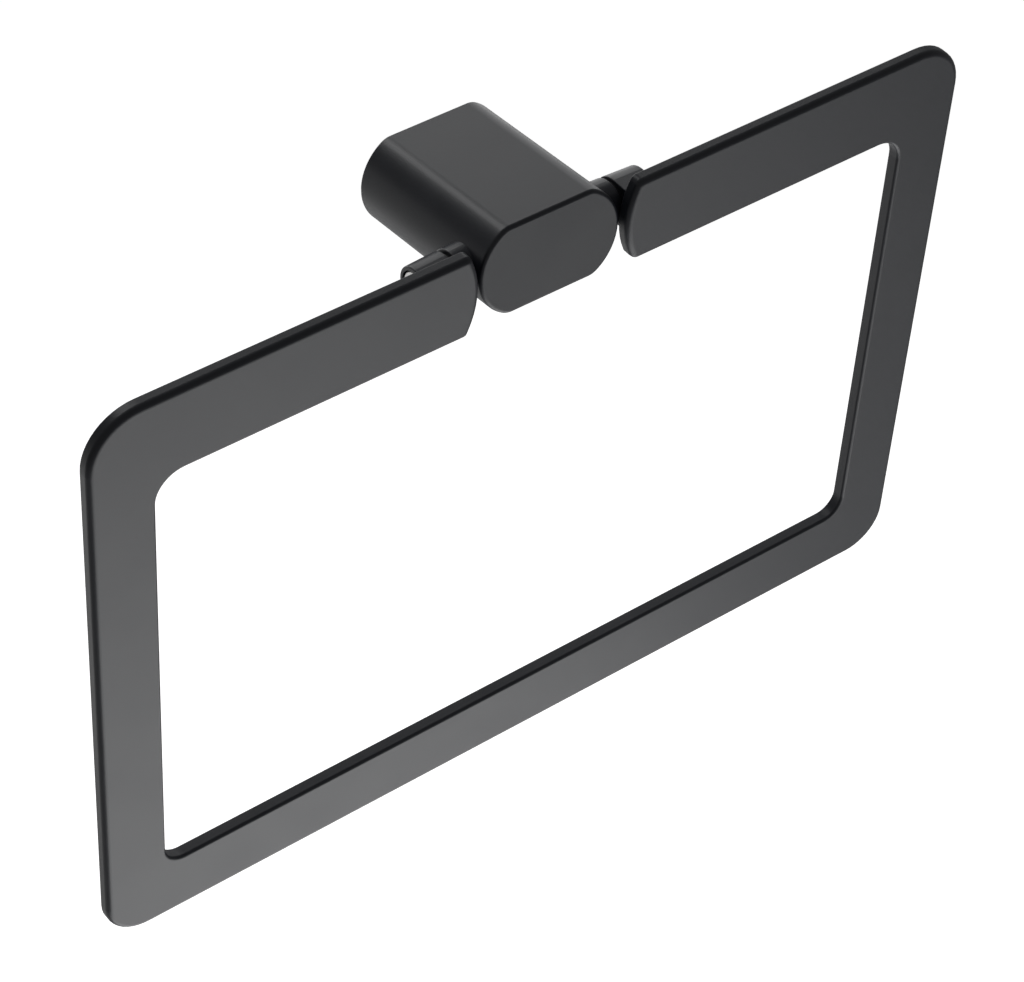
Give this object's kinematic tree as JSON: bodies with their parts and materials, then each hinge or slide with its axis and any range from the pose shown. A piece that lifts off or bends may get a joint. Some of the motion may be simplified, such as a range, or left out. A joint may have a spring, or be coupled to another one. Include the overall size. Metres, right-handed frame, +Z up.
{
  "type": "towel ring",
  "caption": "Black rectangular towel ring of flat plate, hung on side pivots from a short oblong wall post that hides its wall plate.",
  "frame": {"origin": "centre of the post's wall face, where the wall plate bears on the wall", "axes": "+X to the right seen from the front, along the pivot line and the ring's width; +Y into the wall; +Z up"},
  "size_m": [0.25, 0.0495, 0.1719],
  "materials": {
    "black_coat": "matt",
    "bright_steel": "polished",
    "bush_nylon": "matt",
    "plate_steel": "satin",
    "dark_steel": "satin"
  },
  "bodies": {
    "post": {"post": "black_coat", "wall_plate": "plate_steel", "lock_screw": "dark_steel", "left_pivot_screw": "bright_steel", "right_pivot_screw": "bright_steel"},
    "ring": {"ring_frame": "black_coat", "left_pivot_bush": "bush_nylon", "right_pivot_bush": "bush_nylon"}
  },
  "joints": [
    {"name": "ring_swing", "type": "hinge", "parent": "post", "child": "ring", "pos_m": [0, -0.0387, 0], "axis": [1, 0, 0], "range_deg": [-196, 10]}
  ]
}
